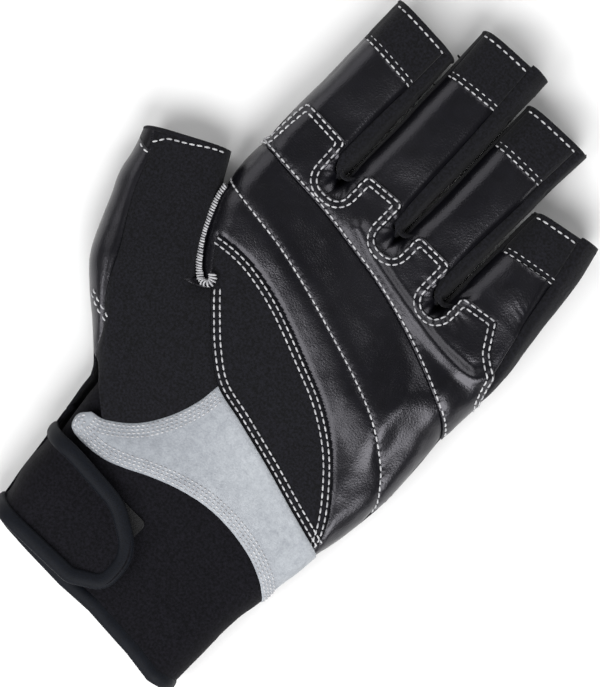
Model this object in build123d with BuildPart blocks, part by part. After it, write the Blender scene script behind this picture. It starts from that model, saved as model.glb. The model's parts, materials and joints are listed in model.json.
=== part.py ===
"""A left-hand sailing glove with cut-off fingers, lying palm up on its back.

+Y runs from the cuff to the fingertips, +X from the thumb side to the little-finger side and
+Z is up, out of the palm. The origin is under the middle of the palm, on the surface the
glove lies on. All sizes are millimetres.
"""

import math
import os

from build123d import *

# ---------------------------------------------------------------- driving dimensions
HEIGHT = 18.0  # the flattened glove, from the surface it lies on to the palm face
SKIN = 1.6  # fabric or leather with its lining
RIM = 8.0  # rounding where the palm side turns over to the back
MID = HEIGHT / 2  # the side seam's height
GAP = 0.2  # each side of a joint line stays this far from it
BEYOND = 30.0  # how far a cutting prism runs past the glove
THREAD_WIDTH = 0.6
THREAD_HEIGHT = 0.4
ROW_SPACING = 1.8  # between the two rows of a double seam

FINGERTIP_HEIGHT = 15.5
FINGER_RIM = 7.0
BACK_TOP = 5.0  # the back strip of a finger reaches this high up its sides
GUSSET_TOP = 11.0  # the hidden left gusset reaches this high
WEB_WIDTH = 3.2  # the gussets' sewn lower ends, between two fingers
WEB_LENGTH = 7.0

# name: left, right, right at the tip, hinge line, leather's right edge, band seam, tip
FINGERS = {
    "index": (-53.2, -27.2, -27.2, 54.0, -32.0, 80.5, 96.5),
    "middle": (-26.8, -2.2, -2.2, 53.0, -8.0, 92.0, 110.5),
    "ring": (-1.8, 22.0, 22.0, 50.0, 18.0, 86.0, 103.0),
    "little": (22.4, 51.4, 45.4, 48.0, 42.0, 66.0, 83.5),
}

# The thumb has a frame of its own: its origin is the crotch, its x runs left along the
# hinge line and its z runs along the thumb.
THUMB_CROTCH = (-36.5, -8.0)
THUMB_SPLAY = 28.0  # degrees the thumb points left of +Y
THUMB_BASE = (0.4, 34.6)
THUMB_TIP = (2.1, 29.9)
THUMB_LENGTH = 40.8
THUMB_PATCH_EDGE = 26.0  # the leather side patch covers what is left of this

WRIST_Y = -66.0
CUFF_END_Y = -105.0
CUFF_TOP_EDGE = (-35.8, 48.2)  # the cuff's sides at the wrist
CUFF_FREE_EDGE = (-31.4, 47.2)  # the cuff's sides at its binding
CUFF_LIFT = 0.8  # the binding's thickness, which keeps the cuff panels off the surface
CUFF_SLIT_X = -30.0  # the palm side of the cuff starts here; left of it is the slit
BINDING_WIDTH = 5.0

# The closure tab wraps round the thumb edge of the cuff and folds about this line.
TAB_FOLD = ((-36.4, -71.0), (-33.0, -102.0))
TAB_OUTLINE = [(-28.5, -70.6), (-8, -71.5), (11.5, -82), (11.5, -96), (2, -102.3), (-25.2, -102.9)]
TAB_TURNS = [1, 20, 10, 6, 6, 1]
TAB_FLOOR = 19.3  # underside of the tab where it lies on the cuff
TAB_THICK = 1.8
TAB_BEND = 10.0  # outer radius where it turns over the cuff's edge
TAB_START = 0.3  # how far above the side seam it starts
TAB_BINDING_THICK = 0.5
PAD_THICK = 0.9
LOOP_PAD = ((-26.0, 6.0), (-98.0, -72.5))
HOOK_PAD = ((-16.0, 6.0), (-97.0, -79.0))

# ---------------------------------------------------------------- outlines, seen from above
PALM_OUTLINE = [
    (-52.8, 66), (-52.4, 33), (-49, 16.5), (-36.8, -7.6), (-34.4, -24), (-38.8, -55), (-35.6, -78),
    (49, -78), (47.9, -60), (53.6, -22), (51.6, 12), (53.2, 32), (51, 66),
]
PALM_TURNS = [9.5, 40, 60, 14, 60, 60, 9.5, 9.5, 60, 40, 60, 60, 9.5]
THUMB_BASE_OUTLINE = [
    (-76.5, 10), (-67.6, -25), (-59, -33.6), (-38.5, -50.8), (-24, -60), (-12, -44), (-33, -14.8),
    (-46, 9.6), (-58, 22),
]
THUMB_BASE_TURNS = [12, 12, 20, 30, 11, 12, 12, 20, 12]
THUMB_SIDE_SEAM = [(-80, 16), (-59.4, -20.2), (-54, -30), (-48, -45)]

LINE_1 = [
    (-56, 20.8), (-40, 18.5), (-25, 16.5), (-10, 13), (5, 8.7), (20, 4), (32, -1), (42, -7.5), (56, -20)
]
LINE_2 = [(-56, 36), (-40, 35), (-25, 34), (-10, 32), (5, 29.4), (20, 25.5), (35, 20), (56, 10.5)]
INSERT_END = [(-31.5, -7.4), (-37.5, 0), (-41.5, 5)]
INSERT_TOP = [
    (-41.5, 5), (-34, 6), (-25, 5.6), (-12, 2.6), (5, -3.8), (18, -9.4), (30, -17.5), (40, -28), (49, -42)
]
HEEL_SEAM_UPPER = [(-31.5, -7.4), (-26, -13), (-18, -20.5), (-8.5, -27)]
HEEL_SEAM_LOWER = [(-8.5, -27), (4, -30), (20, -34), (34, -38), (49, -42)]
SEAM_END = (58, -47)
PATCH_INNER = [(-8.5, -27), (-9.5, -35), (-13.5, -46), (-19.5, -54), (-27.5, -59.6)]
PATCH_TIP = [(-27.5, -59.6), (-32, -62.4), (-29.5, -65.4)]
PATCH_LOWER = [
    (-29.5, -65.4), (-20, -65.5), (-12, -64.4), (0, -59.6), (12, -55.9), (25, -55.5), (37, -57.8), (58, -65.5)
]
THUMB_FREE_EDGE = [(-27.5, -59.6), (-48, -42)]

# The upper panel's edge goes over a tab on each finger and round a U under each crotch.
# The tabs end on the hinge lines.
ZIGZAG = [
    (-58, 36.6), (-52.2, 38), (-50.3, 58), (-33.8, 58), (-33, 37.5), (-21, 37.5), (-21, 58),
    (-8, 58), (-8, 36.8), (3.2, 36.8), (3.2, 56), (15.6, 56), (15.6, 33.3), (26, 33.3),
    (26, 54), (37.6, 54), (43, 38.6), (49, 34.2), (53, 26), (58, 24),
]
TURN = 1.2
U_TURN = 5.0
ZIGZAG_TURNS = [TURN, TURN, TURN, U_TURN, U_TURN, TURN, TURN, U_TURN, U_TURN, TURN, TURN, U_TURN,
                U_TURN, TURN, TURN, 4, 4, 2]
HAND_END = [(-58, 54), (-27, 54), (-27, 53), (-2, 53), (-2, 50), (22.2, 50), (22.2, 48), (58, 48)]

splay = math.radians(THUMB_SPLAY)
thumb_plane = Plane(
    origin=(THUMB_CROTCH[0], THUMB_CROTCH[1], 0),
    x_dir=(-math.cos(splay), -math.sin(splay), 0),
    z_dir=(-math.sin(splay), math.cos(splay), 0),
)


# ---------------------------------------------------------------- steps used more than once
def from_crotch(left, along):
    """A point in plan, from its place in the thumb's frame."""
    return (
        THUMB_CROTCH[0] - left * math.cos(splay) - along * math.sin(splay),
        THUMB_CROTCH[1] - left * math.sin(splay) + along * math.cos(splay),
    )


def palm_outline():
    """The palm without the thumb, running on past the finger hinges and the wrist."""
    FilletPolyline(*PALM_OUTLINE, radius=PALM_TURNS, close=True)


def thumb_base_outline():
    FilletPolyline(*THUMB_BASE_OUTLINE, radius=THUMB_BASE_TURNS, close=True)


def pillow(draw_outline, inset):
    """A flat solid with rounded rims, inside the outline by the inset."""
    with BuildPart() as body:
        with BuildSketch(Plane.XY.offset(inset)):
            with BuildLine():
                draw_outline()
            make_face()
            if inset > 0:
                offset(amount=-inset, mode=Mode.REPLACE)
        extrude(amount=HEIGHT - 2 * inset)
        rims = body.edges().group_by(Axis.Z)
        fillet(rims[0] + rims[-1], RIM - inset)
    return body.part


def keep(draw_outline, floor=MID, top=HEIGHT + 1):
    """Keep what stands over a closed outline, between two heights."""
    with BuildSketch(Plane.XY.offset(floor)) as region:
        with BuildLine():
            draw_outline()
        make_face()
    extrude(region.sketch, amount=top - floor, mode=Mode.INTERSECT)


def rounded_section(plane, left, right, low, high, rim):
    """A rounded rectangle on a plane whose x is across and whose y is up."""
    with BuildSketch(plane) as section:
        with Locations(((left + right) / 2, (low + high) / 2)):
            RectangleRounded(right - left, high - low, rim)
    return section.sketch


def tube(near, far, outset=0.0, wall=SKIN):
    """A tapering tube between two rounded sections, each a plane, its sides, heights and rim."""
    for inset, mode in ((-outset, Mode.ADD), (wall - outset, Mode.SUBTRACT)):
        sections = [
            rounded_section(
                plane, sides[0] + inset, sides[1] - inset, heights[0] + inset, heights[1] - inset, rim - inset
            )
            for plane, sides, heights, rim in (near, far)
        ]
        loft(sections, mode=mode)


def box_between(x_range, y_range, z_range, mode=Mode.INTERSECT):
    size = [high - low for low, high in (x_range, y_range, z_range)]
    middle = [(high + low) / 2 for low, high in (x_range, y_range, z_range)]
    with Locations(tuple(middle)):
        Box(*size, mode=mode)


def stitch_row(points, shift=(0, 0)):
    """A row of stitching, as a flat thread on the palm, on a seam or shifted beside it."""
    with BuildSketch(Plane.XY.offset(HEIGHT)) as row:
        with BuildLine():
            Spline(*[(x + shift[0], y + shift[1]) for x, y in points])
        trace(line_width=THREAD_WIDTH)
    extrude(row.sketch, amount=THREAD_HEIGHT)


def across(y):
    """The plane across the glove at this y, with its x to the right and its y up."""
    return Plane.XZ.offset(-y)


# ---------------------------------------------------------------- the hand's skin
palm_block = pillow(palm_outline, 0)
palm_core = pillow(palm_outline, SKIN)
thumb_block = pillow(thumb_base_outline, 0)
thumb_core = pillow(thumb_base_outline, SKIN)


def hand_limits():
    """The hand ends at the finger hinges, the thumb's hinge line and the wrist."""
    ends = [(x, y - GAP) for x, y in HAND_END]
    thumb_cut = [from_crotch(0, 62), from_crotch(0, -GAP), from_crotch(60, -GAP)]
    Polyline(*ends, (58, WRIST_Y + GAP), (-90, WRIST_Y + GAP), *reversed(thumb_cut), close=True)


with BuildPart() as hand_skin:
    add(palm_block)
    add(thumb_block)
    add(palm_core, mode=Mode.SUBTRACT)
    add(thumb_core, mode=Mode.SUBTRACT)
    keep(hand_limits, -1, HEIGHT + 1)


def keep_level(low, high):
    """Keep what lies between two heights."""
    box_between((-100, 100), (-120, 120), (low, high))


# ---------------------------------------------------------------- panels of the palm side
def upper_region():
    FilletPolyline(*ZIGZAG, radius=ZIGZAG_TURNS)
    Line(ZIGZAG[-1], LINE_2[-1])
    Spline(*LINE_2)
    Line(LINE_2[0], ZIGZAG[0])


def middle_region():
    Spline(*LINE_2)
    Line(LINE_2[-1], LINE_1[-1])
    Spline(*LINE_1)
    Line(LINE_1[0], LINE_2[0])


def heel_region():
    Spline(*LINE_1)
    Polyline(LINE_1[-1], SEAM_END, INSERT_TOP[-1])
    Spline(*INSERT_TOP)
    Spline(*INSERT_END)
    Polyline(INSERT_END[0], (-37, -7.6), (-62, -4), LINE_1[0])


def insert_region():
    Spline(*INSERT_TOP)
    Spline(*HEEL_SEAM_LOWER)
    Spline(*HEEL_SEAM_UPPER)
    Spline(*INSERT_END)


def patch_region():
    Spline(*HEEL_SEAM_LOWER)
    Polyline(HEEL_SEAM_LOWER[-1], SEAM_END, PATCH_LOWER[-1])
    Spline(*PATCH_LOWER)
    Spline(*PATCH_TIP)
    Spline(*PATCH_INNER)


def thumb_base_region():
    Spline(*HEEL_SEAM_UPPER)
    Spline(*PATCH_INNER)
    Polyline(PATCH_INNER[-1], THUMB_FREE_EDGE[-1], *THUMB_SIDE_SEAM[:0:-1], (-59.4, -10), (-37, -7.6),
             HEEL_SEAM_UPPER[0])


def thumb_base_side_region():
    Polyline(*THUMB_SIDE_SEAM, (-90, -45), (-90, 16), close=True)


def cuff_gore_region():
    Spline(*PATCH_LOWER)
    Polyline(PATCH_LOWER[-1], (58, -70), (-29.5, -70), PATCH_LOWER[0])


with BuildPart() as palm_upper_panel:
    add(hand_skin.part)
    keep(upper_region)

with BuildPart() as palm_middle_strip:
    add(hand_skin.part)
    keep(middle_region)

with BuildPart() as palm_heel_strip:
    add(hand_skin.part)
    keep(heel_region)

with BuildPart() as palm_stretch_insert:
    add(hand_skin.part)
    keep(insert_region)

with BuildPart() as wrist_patch:
    add(hand_skin.part)
    keep(patch_region)

with BuildPart() as thumb_base_panel:
    add(hand_skin.part)
    keep(thumb_base_region)

with BuildPart() as thumb_base_side_leather:
    add(hand_skin.part)
    keep(thumb_base_side_region)

with BuildPart() as wrist_gore:
    add(hand_skin.part)
    keep(cuff_gore_region)

with BuildPart() as back_panel:
    add(hand_skin.part)
    keep_level(-1, MID)


# ---------------------------------------------------------------- leather between the tabs
def crotch_region():
    FilletPolyline(*ZIGZAG, radius=ZIGZAG_TURNS)
    Polyline(ZIGZAG[-1], (58, 60), (-58, 60), ZIGZAG[0])


def crotch_leather(left, right, web=None):
    """The finger leather that runs down between two tabs, with the sewn gusset ends under it."""
    add(hand_skin.part)
    keep(crotch_region)
    box_between((left, right), (0, 70), (MID, HEIGHT + 1))
    if web is not None:
        x, start, end = web
        box_between((x - WEB_WIDTH / 2, x + WEB_WIDTH / 2), (start, end - GAP), (SKIN, HEIGHT - SKIN),
                    Mode.ADD)


with BuildPart() as index_side_leather:
    crotch_leather(-60, -42)

with BuildPart() as index_middle_crotch:
    crotch_leather(-42, -14.5, (-27.0, 45, 53))

with BuildPart() as middle_ring_crotch:
    crotch_leather(-14.5, 9.4, (-2.0, 44, 50))

with BuildPart() as ring_little_crotch:
    crotch_leather(9.4, 32, (22.2, 39, 48))

with BuildPart() as little_side_leather:
    crotch_leather(32, 60)


# ---------------------------------------------------------------- fingers
pieces = {}
for finger, (left, right, tip_right, hinge, edge, seam, tip) in FINGERS.items():
    with BuildPart() as finger_tube:
        tube(
            (across(hinge + GAP), (left, right), (0, HEIGHT), RIM),
            (across(tip), (left + 0.3, tip_right), (0, FINGERTIP_HEIGHT), FINGER_RIM),
        )
    leather_floor = BACK_TOP if finger == "index" else GUSSET_TOP
    middle = (left + edge) / 2
    cuts = {
        "palm_leather": ((left - 9, edge), (hinge, seam), (leather_floor, HEIGHT + 1)),
        "tip_band": ((left - 9, edge), (seam, tip + 9), (leather_floor, HEIGHT + 1)),
        "right_gusset": ((edge, right + 9), (hinge, tip + 9), (BACK_TOP, HEIGHT + 1)),
        "back": ((left - 9, right + 9), (hinge, tip + 9), (-1, BACK_TOP)),
    }
    if finger != "index":
        cuts["left_gusset"] = ((left - 9, middle), (hinge, tip + 9), (BACK_TOP, GUSSET_TOP))
    for name, ranges in cuts.items():
        with BuildPart() as finger_piece:
            add(finger_tube.part)
            box_between(*ranges)
        pieces[f"{finger}_{name}"] = finger_piece.part
    with BuildPart() as finger_stitches:
        for row in (seam, seam + ROW_SPACING, tip - 2.5):
            near_side = row - THREAD_WIDTH / 2
            top = HEIGHT - (HEIGHT - FINGERTIP_HEIGHT) * (near_side - hinge) / (tip - hinge)
            box_between((left + RIM, edge - 1), (near_side, near_side + THREAD_WIDTH),
                        (top + 0.01, top + THREAD_HEIGHT), Mode.ADD)
    pieces[f"{finger}_stitches"] = finger_stitches.part

# ---------------------------------------------------------------- thumb
with BuildPart() as thumb_tube:
    tube(
        (thumb_plane.offset(GAP), THUMB_BASE, (0, HEIGHT), RIM),
        (thumb_plane.offset(THUMB_LENGTH), THUMB_TIP, (0, FINGERTIP_HEIGHT), FINGER_RIM),
    )

patch_edge = Plane(
    origin=(*from_crotch(THUMB_PATCH_EDGE, 0), 0), z_dir=(-math.cos(splay), -math.sin(splay), 0)
)

with BuildPart() as thumb_palm_panel:
    add(thumb_tube.part)
    split(bisect_by=patch_edge, keep=Keep.BOTTOM)
    keep_level(MID, HEIGHT + 1)

with BuildPart() as thumb_side_leather:
    add(thumb_tube.part)
    split(bisect_by=patch_edge, keep=Keep.TOP)
    keep_level(MID, HEIGHT + 1)

with BuildPart() as thumb_back:
    add(thumb_tube.part)
    keep_level(-1, MID)

with BuildPart() as thumb_stitches:
    along = THUMB_LENGTH - 2.5
    top = HEIGHT - (HEIGHT - FINGERTIP_HEIGHT) * (along - THREAD_WIDTH / 2) / THUMB_LENGTH
    with Locations(thumb_plane.offset(along)):
        with Locations((sum(THUMB_TIP) / 2, top + THREAD_HEIGHT / 2 + 0.01)):
            Box(THUMB_TIP[1] - THUMB_TIP[0] - 2 * RIM, THREAD_HEIGHT, THREAD_WIDTH)

# ---------------------------------------------------------------- cuff
cuff_ends = (
    (across(WRIST_Y - GAP), CUFF_TOP_EDGE, (CUFF_LIFT, HEIGHT - CUFF_LIFT), RIM - CUFF_LIFT),
    (across(CUFF_END_Y), CUFF_FREE_EDGE, (CUFF_LIFT, HEIGHT - CUFF_LIFT), RIM - CUFF_LIFT),
)

with BuildPart() as cuff_tube:
    tube(*cuff_ends)
    box_between((-90, 90), (CUFF_END_Y + CUFF_LIFT, 0), (-1, HEIGHT + 1))

with BuildPart() as cuff_palm_panel:
    add(cuff_tube.part)
    box_between((CUFF_SLIT_X, 90), (-120, 0), (MID, HEIGHT + 1))

with BuildPart() as cuff_back_panel:
    add(cuff_tube.part)
    keep_level(-1, MID)

with BuildPart() as cuff_binding:
    tube(*cuff_ends, outset=CUFF_LIFT, wall=SKIN + 2 * CUFF_LIFT)
    box_between((-90, 90), (CUFF_END_Y - 1, CUFF_END_Y + BINDING_WIDTH), (-1, HEIGHT + 1))
    box_between((-90, CUFF_SLIT_X), (-120, 0), (MID - 1.5, HEIGHT + 1), Mode.SUBTRACT)
    add(cuff_tube.part, mode=Mode.SUBTRACT)

with BuildPart() as loop_pad:
    cuff_top = HEIGHT - CUFF_LIFT
    box_between(*LOOP_PAD, (cuff_top, cuff_top + PAD_THICK), Mode.ADD)
    fillet(loop_pad.edges().filter_by(Axis.Z), 2)

# ---------------------------------------------------------------- closure tab
fold_start, fold_end = Vector(*TAB_FOLD[0]), Vector(*TAB_FOLD[1])
fold_line = fold_end - fold_start
fold_plane = Plane(
    origin=(*TAB_FOLD[0], 0), x_dir=(-fold_line.Y, fold_line.X, 0), z_dir=(fold_line.X, fold_line.Y, 0)
)

with BuildPart() as closure_tab:
    half = TAB_THICK / 2
    top = TAB_FLOOR + TAB_THICK
    with BuildSketch(fold_plane):
        with Locations((TAB_BEND - half, top - TAB_BEND)):
            Circle(TAB_BEND)
            Circle(TAB_BEND - TAB_THICK, mode=Mode.SUBTRACT)
            Rectangle(2 * TAB_BEND, 2 * TAB_BEND, align=(Align.MIN, Align.CENTER), mode=Mode.SUBTRACT)
            Rectangle(2 * TAB_BEND, 2 * TAB_BEND, align=(Align.CENTER, Align.MAX), mode=Mode.SUBTRACT)
        with Locations((0, (MID + TAB_START + top - TAB_BEND) / 2)):
            Rectangle(TAB_THICK, top - TAB_BEND - MID - TAB_START)
    extrude(amount=fold_line.length)
    with BuildSketch(Plane.XY.offset(TAB_FLOOR)):
        with BuildLine():
            FilletPolyline(*TAB_OUTLINE, radius=TAB_TURNS, close=True)
        make_face()
    extrude(amount=TAB_THICK)

with BuildPart() as tab_binding:
    with BuildSketch(Plane.XY.offset(TAB_FLOOR + TAB_THICK)):
        with BuildLine():
            FilletPolyline(*TAB_OUTLINE, radius=TAB_TURNS, close=True)
        make_face()
        with BuildLine():
            FilletPolyline(*TAB_OUTLINE, radius=TAB_TURNS, close=True)
        make_face(mode=Mode.ADD)
        offset(amount=-BINDING_WIDTH, mode=Mode.SUBTRACT)
    extrude(amount=TAB_BINDING_THICK)

with BuildPart() as hook_pad:
    box_between(*HOOK_PAD, (TAB_FLOOR - PAD_THICK, TAB_FLOOR), Mode.ADD)
    fillet(hook_pad.edges().filter_by(Axis.Z), 2)


# ---------------------------------------------------------------- stitching on the palm
def flat_of_palm():
    """Inside this the palm face is flat."""
    Polyline((-44.5, 36), (-44.5, 52.6), (-27.5, 52.6), (-27.5, 51.6), (-2.5, 51.6), (-2.5, 48.8), (21.8, 48.8),
             (21.8, 46.8), (43.5, 46.8), (45, 20), (44, 5), (45, -20), (40, -44), (40, -65), (-28, -65),
             (-28, -40), (-26, -20), (-29, -6), (-41, 15), close=True)


with BuildPart() as palm_line_stitches:
    stitch_row(LINE_1)
    stitch_row(LINE_2)
    keep(flat_of_palm)

with BuildPart() as insert_stitches:
    stitch_row(INSERT_TOP)
    stitch_row(INSERT_TOP, shift=(0, -ROW_SPACING))
    keep(flat_of_palm)

with BuildPart() as heel_stitches:
    stitch_row(HEEL_SEAM_UPPER + HEEL_SEAM_LOWER[1:])
    stitch_row(HEEL_SEAM_UPPER + HEEL_SEAM_LOWER[1:], shift=(0, ROW_SPACING))
    keep(flat_of_palm)

with BuildPart() as tab_stitches:
    for row in (0.5, 0.5 + ROW_SPACING):
        with BuildSketch(Plane.XY.offset(HEIGHT)) as ring:
            with BuildLine():
                FilletPolyline(*ZIGZAG, radius=ZIGZAG_TURNS)
                Polyline(ZIGZAG[-1], (58, 0), (-58, 0), ZIGZAG[0])
            make_face()
            offset(amount=-row, mode=Mode.REPLACE)
        with BuildSketch(Plane.XY.offset(HEIGHT)) as hole:
            add(ring.sketch)
            offset(amount=-THREAD_WIDTH, mode=Mode.REPLACE)
        extrude(ring.sketch, amount=THREAD_HEIGHT)
        extrude(hole.sketch, amount=THREAD_HEIGHT, mode=Mode.SUBTRACT)
    keep(flat_of_palm)
    box_between((-60, 60), (20, 60), (HEIGHT, HEIGHT + 1))

with BuildPart() as patch_stitches:
    stitch_row(PATCH_INNER, shift=(ROW_SPACING, 0))
    stitch_row(PATCH_LOWER, shift=(0, ROW_SPACING))
    keep(flat_of_palm)
    box_between((-60, 60), (-70, -32), (HEIGHT, HEIGHT + 1))


# ---------------------------------------------------------------- files
for named in (
    palm_upper_panel, palm_middle_strip, palm_heel_strip, palm_stretch_insert, wrist_patch,
    thumb_base_panel, thumb_base_side_leather, wrist_gore, back_panel, index_side_leather,
    index_middle_crotch, middle_ring_crotch, ring_little_crotch, little_side_leather,
    thumb_palm_panel, thumb_side_leather, thumb_back, thumb_stitches, cuff_palm_panel,
    cuff_back_panel, cuff_binding, loop_pad, closure_tab, tab_binding, hook_pad,
    palm_line_stitches, insert_stitches, heel_stitches, tab_stitches, patch_stitches,
):
    pieces[next(name for name, value in globals().items() if value is named)] = named.part

os.makedirs("parts", exist_ok=True)
for name, solid in pieces.items():
    solid.label = name
    export_step(solid, f"parts/{name}.step")
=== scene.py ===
"""A left-hand sailing glove with cut-off fingers, lying palm up.

Every sheet of the glove is drawn flat, as its maker cuts it, and then wrapped: a skin knows the
silhouette lines it is wrapped to, and turns a flat point into a point on the stuffed glove.
Plan sizes are millimetres in the frame's own axes until a mesh is made.
"""

import json
import math

import bpy
import numpy as np
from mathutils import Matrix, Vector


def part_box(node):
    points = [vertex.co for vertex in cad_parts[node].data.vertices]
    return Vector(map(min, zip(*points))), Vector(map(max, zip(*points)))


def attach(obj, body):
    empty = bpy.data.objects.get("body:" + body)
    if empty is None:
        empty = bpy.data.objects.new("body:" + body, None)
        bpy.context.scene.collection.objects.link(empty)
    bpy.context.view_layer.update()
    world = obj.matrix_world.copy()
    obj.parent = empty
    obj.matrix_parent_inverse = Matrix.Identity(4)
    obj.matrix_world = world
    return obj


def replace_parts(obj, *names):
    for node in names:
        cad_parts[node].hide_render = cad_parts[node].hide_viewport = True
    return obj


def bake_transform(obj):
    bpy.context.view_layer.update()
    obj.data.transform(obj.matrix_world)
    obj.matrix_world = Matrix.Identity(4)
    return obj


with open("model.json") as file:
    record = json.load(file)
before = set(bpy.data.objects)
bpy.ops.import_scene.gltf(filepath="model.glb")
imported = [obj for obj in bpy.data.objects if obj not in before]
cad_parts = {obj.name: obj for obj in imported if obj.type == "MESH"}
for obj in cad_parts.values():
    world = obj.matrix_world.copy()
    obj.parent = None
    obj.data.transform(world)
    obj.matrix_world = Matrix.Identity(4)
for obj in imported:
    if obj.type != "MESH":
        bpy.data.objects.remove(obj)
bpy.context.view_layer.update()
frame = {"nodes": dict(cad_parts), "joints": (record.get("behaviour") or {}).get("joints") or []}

MM = 0.001
QUARTER = math.pi / 2
BATCH = 4000  # points handled at once, so that the distance tables stay small
RNG = np.random.default_rng(7)


# ---------------------------------------------------------------- sizes that the frame gives
def high(node):
    """The top of a node, in millimetres."""
    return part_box(node)[1][2] / MM


HINGES = {joint["name"]: joint for joint in frame["joints"]}
PALM_TOP = high("palm_stretch_insert")
TIP_TOP = 15.5  # the tubes of the fingers and thumb get thinner towards their openings
SIDE_SEAM = PALM_TOP / 2
RIM = 8.0
CUFF_DIP = 0.8  # how much thinner the cuff is than the palm, on each side
WRIST_Y = HINGES["wrist_flex"]["pos_m"][1] / MM
CUFF_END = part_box("cuff_binding")[0][1] / MM
TAB_TOP = high("closure_tab")
CROTCH = np.array(HINGES["thumb_flex"]["pos_m"][:2]) / MM
ACROSS_THUMB = np.array(HINGES["thumb_flex"]["axis"][:2])
ALONG_THUMB = np.array([-ACROSS_THUMB[1], ACROSS_THUMB[0]])


# ---------------------------------------------------------------- lines
def lengths(line):
    """The running length at each point of a line: the sum of the steps before it."""
    return np.concatenate([[0], np.cumsum(np.hypot(*np.diff(line, axis=0).T))])


def at(line, run, where):
    """The points of a line at some running lengths: linear between its own points."""
    return np.stack([np.interp(where, run, column) for column in line.T], axis=1)


def normals(line):
    """At each point of a line, the unit vector along it and the one to its left: a quarter turn on."""
    way = np.gradient(line, axis=0)
    way /= np.hypot(*way.T)[:, None]
    return way, np.stack([-way[:, 1], way[:, 0]], axis=1)


def beside(line, gap):
    """The line moved sideways, left of the way it goes: each point along its own normal."""
    return line + gap * normals(line)[1]


def evenly(points, step):
    """The same line with its points a step apart: linear interpolation on its running length."""
    run = lengths(points)
    return at(points, run, np.linspace(0, run[-1], max(2, int(math.ceil(run[-1] / step)) + 1)))


def through(points, step=1.5):
    """A smooth line through the points: a Catmull-Rom cubic between each two of them."""
    p = np.array(points, float)
    p = np.vstack([2 * p[0] - p[1], p, 2 * p[-1] - p[-2]])
    t = np.linspace(0, 1, 16, endpoint=False)[None, :, None]
    a, b, c, d = (p[i:len(p) - 3 + i, None, :] for i in range(4))
    curve = b + t / 2 * (c - a + t * (2 * a - 5 * b + 4 * c - d + t * (3 * (b - c) + d - a)))
    return evenly(np.vstack([curve.reshape(-1, 2), p[-2]]), step)


def rounded(corners, radii, beside=0.0, step=0.7):
    """Straight runs joined by arcs, moved sideways: left of the way it goes is positive."""
    p = np.array(corners, float)
    way = np.diff(p, axis=0)
    way /= np.hypot(*way.T)[:, None]
    left = np.stack([-way[:, 1], way[:, 0]], axis=1)
    line = [p[0] + left[0] * beside]
    for i, radius in enumerate(radii):
        u, v, n = way[i], way[i + 1], left[i] + left[i + 1]
        corner = p[i + 1] + n * beside / (1 + left[i] @ left[i + 1])
        turn = math.atan2(u[0] * v[1] - u[1] * v[0], u @ v)
        bend = max(radius - beside * math.copysign(1, turn), 0.3)
        cut = bend * math.tan(abs(turn) / 2)
        angle = np.linspace(0, abs(turn), 9)[:, None]
        inner = left[i] * math.copysign(1, turn)
        line.extend(corner - u * cut + u * bend * np.sin(angle) + inner * bend * (1 - np.cos(angle)))
    line.append(p[-1] + left[-1] * beside)
    return evenly(np.array(line), step)


def nearest(q, line):
    """For each point: how far the line is, its closest place, the length run there, and its left."""
    step = np.hypot(*np.diff(line, axis=0).T)
    line = line[np.concatenate([[True], step > 1e-6])]
    a, way = line[:-1], np.diff(line, axis=0)
    size = np.hypot(*way.T)
    run = lengths(line)
    far, foot = np.empty(len(q)), np.empty((len(q), 2))
    along, left = np.empty(len(q)), np.empty((len(q), 2))
    for start in range(0, len(q), BATCH):
        part = q[start:start + BATCH]
        w = part[:, None, :] - a[None]
        t = np.clip((w * way).sum(2) / size**2, 0, 1)
        gap = w - t[..., None] * way
        best = (gap**2).sum(2).argmin(1)
        rows = np.arange(len(part))
        t = t[rows, best]
        cut = slice(start, start + len(part))
        foot[cut] = a[best] + t[:, None] * way[best]
        far[cut] = np.hypot(*(part - foot[cut]).T)
        along[cut] = run[best] + t * size[best]
        left[cut] = np.stack([-way[best, 1], way[best, 0]], axis=1) / size[best, None]
    return far, foot, along, left


def inside(q, loop):
    """Whether each point is inside a closed line: an odd number of its edges pass to the right."""
    a, b = loop, np.roll(loop, -1, axis=0)
    rise = np.where(b[:, 1] == a[:, 1], 1e-9, b[:, 1] - a[:, 1])
    odd = np.zeros(len(q), bool)
    for start in range(0, len(q), BATCH):
        x, y = q[start:start + BATCH, :1], q[start:start + BATCH, 1:]
        spans = (a[:, 1] > y) != (b[:, 1] > y)
        crossing = a[:, 0] + (y - a[:, 1]) / rise * (b[:, 0] - a[:, 0])
        odd[start:start + BATCH] = (spans & (x < crossing)).sum(1) % 2
    return odd


def from_crotch(left, along):
    """A plan point from its place in the thumb's own axes."""
    return CROTCH - left * ACROSS_THUMB + along * ALONG_THUMB


def smooth(x, low, high_end):
    """A smooth step: 0 below low, 1 above high, a cubic between."""
    t = np.clip((x - low) / (high_end - low), 0, 1)
    return t * t * (3 - 2 * t)


def bell(x, width):
    """A rounded bump: e to the minus x over width squared."""
    return np.exp(-(x / width) ** 2)


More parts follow.
